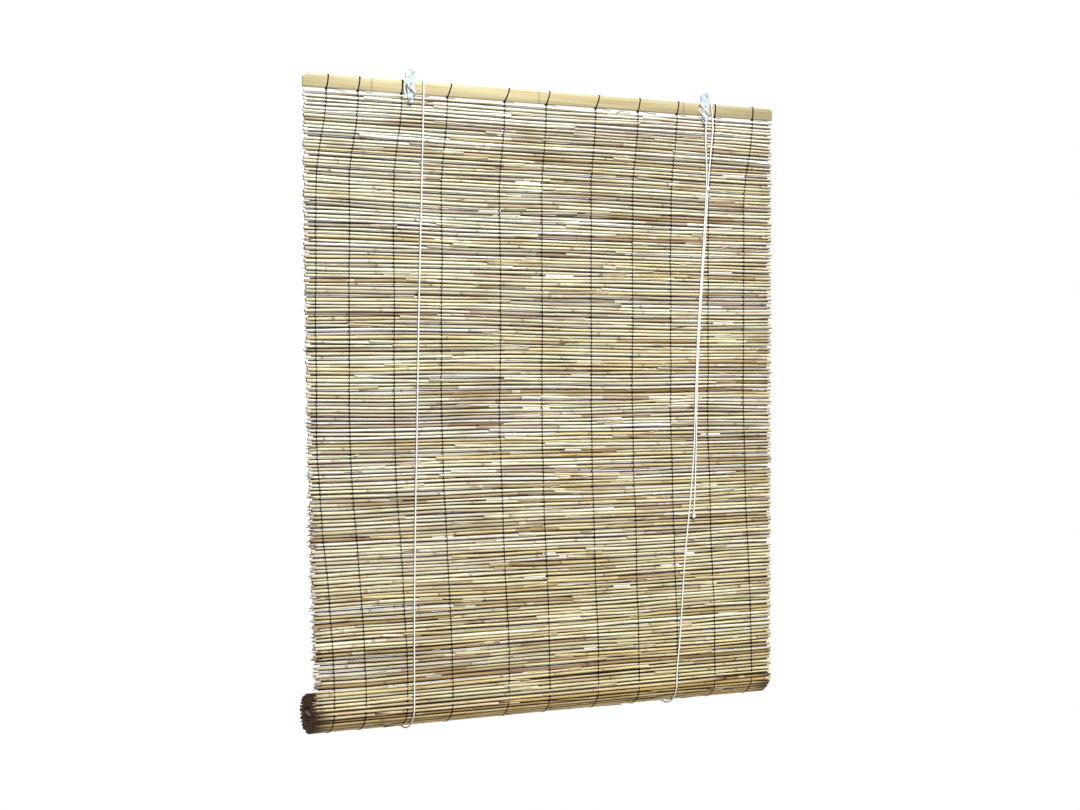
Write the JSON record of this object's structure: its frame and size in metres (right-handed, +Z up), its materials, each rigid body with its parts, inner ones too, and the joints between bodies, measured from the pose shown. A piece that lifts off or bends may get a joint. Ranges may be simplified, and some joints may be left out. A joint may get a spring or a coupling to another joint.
{
  "type": "roll-up reed blind",
  "caption": "Roll-up window blind: a woven reed mat hung from a bamboo head slat on plastic hooks, its lower part wound into a roll that cord loops raise and lower.",
  "frame": {"origin": "midway between the two hanging holes, on the back faces of the hooks", "axes": "+Z up, +X along the slat to the right as seen from the front, +Y away from the front, towards the window"},
  "size_m": [0.9, 0.0812, 1.0612],
  "materials": {
    "bamboo": "satin",
    "reed": "satin",
    "thread": "matte",
    "hook_plastic": "translucent, glossy",
    "cord": "matte"
  },
  "bodies": {
    "blind": {"head_slat": "bamboo", "reed_mat": "reed", "hook_left": "hook_plastic", "hook_right": "hook_plastic", "hook_tie_left": "cord", "hook_tie_right": "cord", "lift_cord_left_front": "cord", "lift_cord_right_front": "cord", "lift_cord_left_back": "cord", "lift_cord_right_back": "cord", "cross_cord": "cord", "pull_cord": "cord", "upper_knot": "cord", "end_knot": "cord", "warp_thread_01": "thread", "warp_thread_02": "thread", "warp_thread_03": "thread", "warp_thread_04": "thread", "warp_thread_05": "thread", "warp_thread_06": "thread", "warp_thread_07": "thread", "warp_thread_08": "thread", "warp_thread_09": "thread", "warp_thread_10": "thread", "warp_thread_11": "thread"},
    "lift_loops": {"lift_loop_left": "cord", "lift_loop_right": "cord"},
    "roll": {"mat_roll": "reed", "bottom_slat": "bamboo", "roll_threads": "thread"}
  },
  "joints": [
    {"name": "roll_lift", "type": "slide", "parent": "blind", "child": "lift_loops", "axis": [0, 0, 1], "range_m": [0, 0.9], "deforming": ["reed_mat", "lift_cord_left_front", "lift_cord_right_front", "lift_cord_left_back", "lift_cord_right_back", "warp_thread_01", "warp_thread_02", "warp_thread_03", "warp_thread_04", "warp_thread_05", "warp_thread_06", "warp_thread_07", "warp_thread_08", "warp_thread_09", "warp_thread_10", "warp_thread_11"]},
    {"name": "roll_turn", "type": "hinge", "parent": "lift_loops", "child": "roll", "pos_m": [0, 0.0351, -1.014], "axis": [1, 0, 0], "range_deg": [0, 1440]}
  ],
  "couplings": [
    {"joint": "roll_turn", "follows": "roll_lift", "rad_per_m": 27.92}
  ]
}
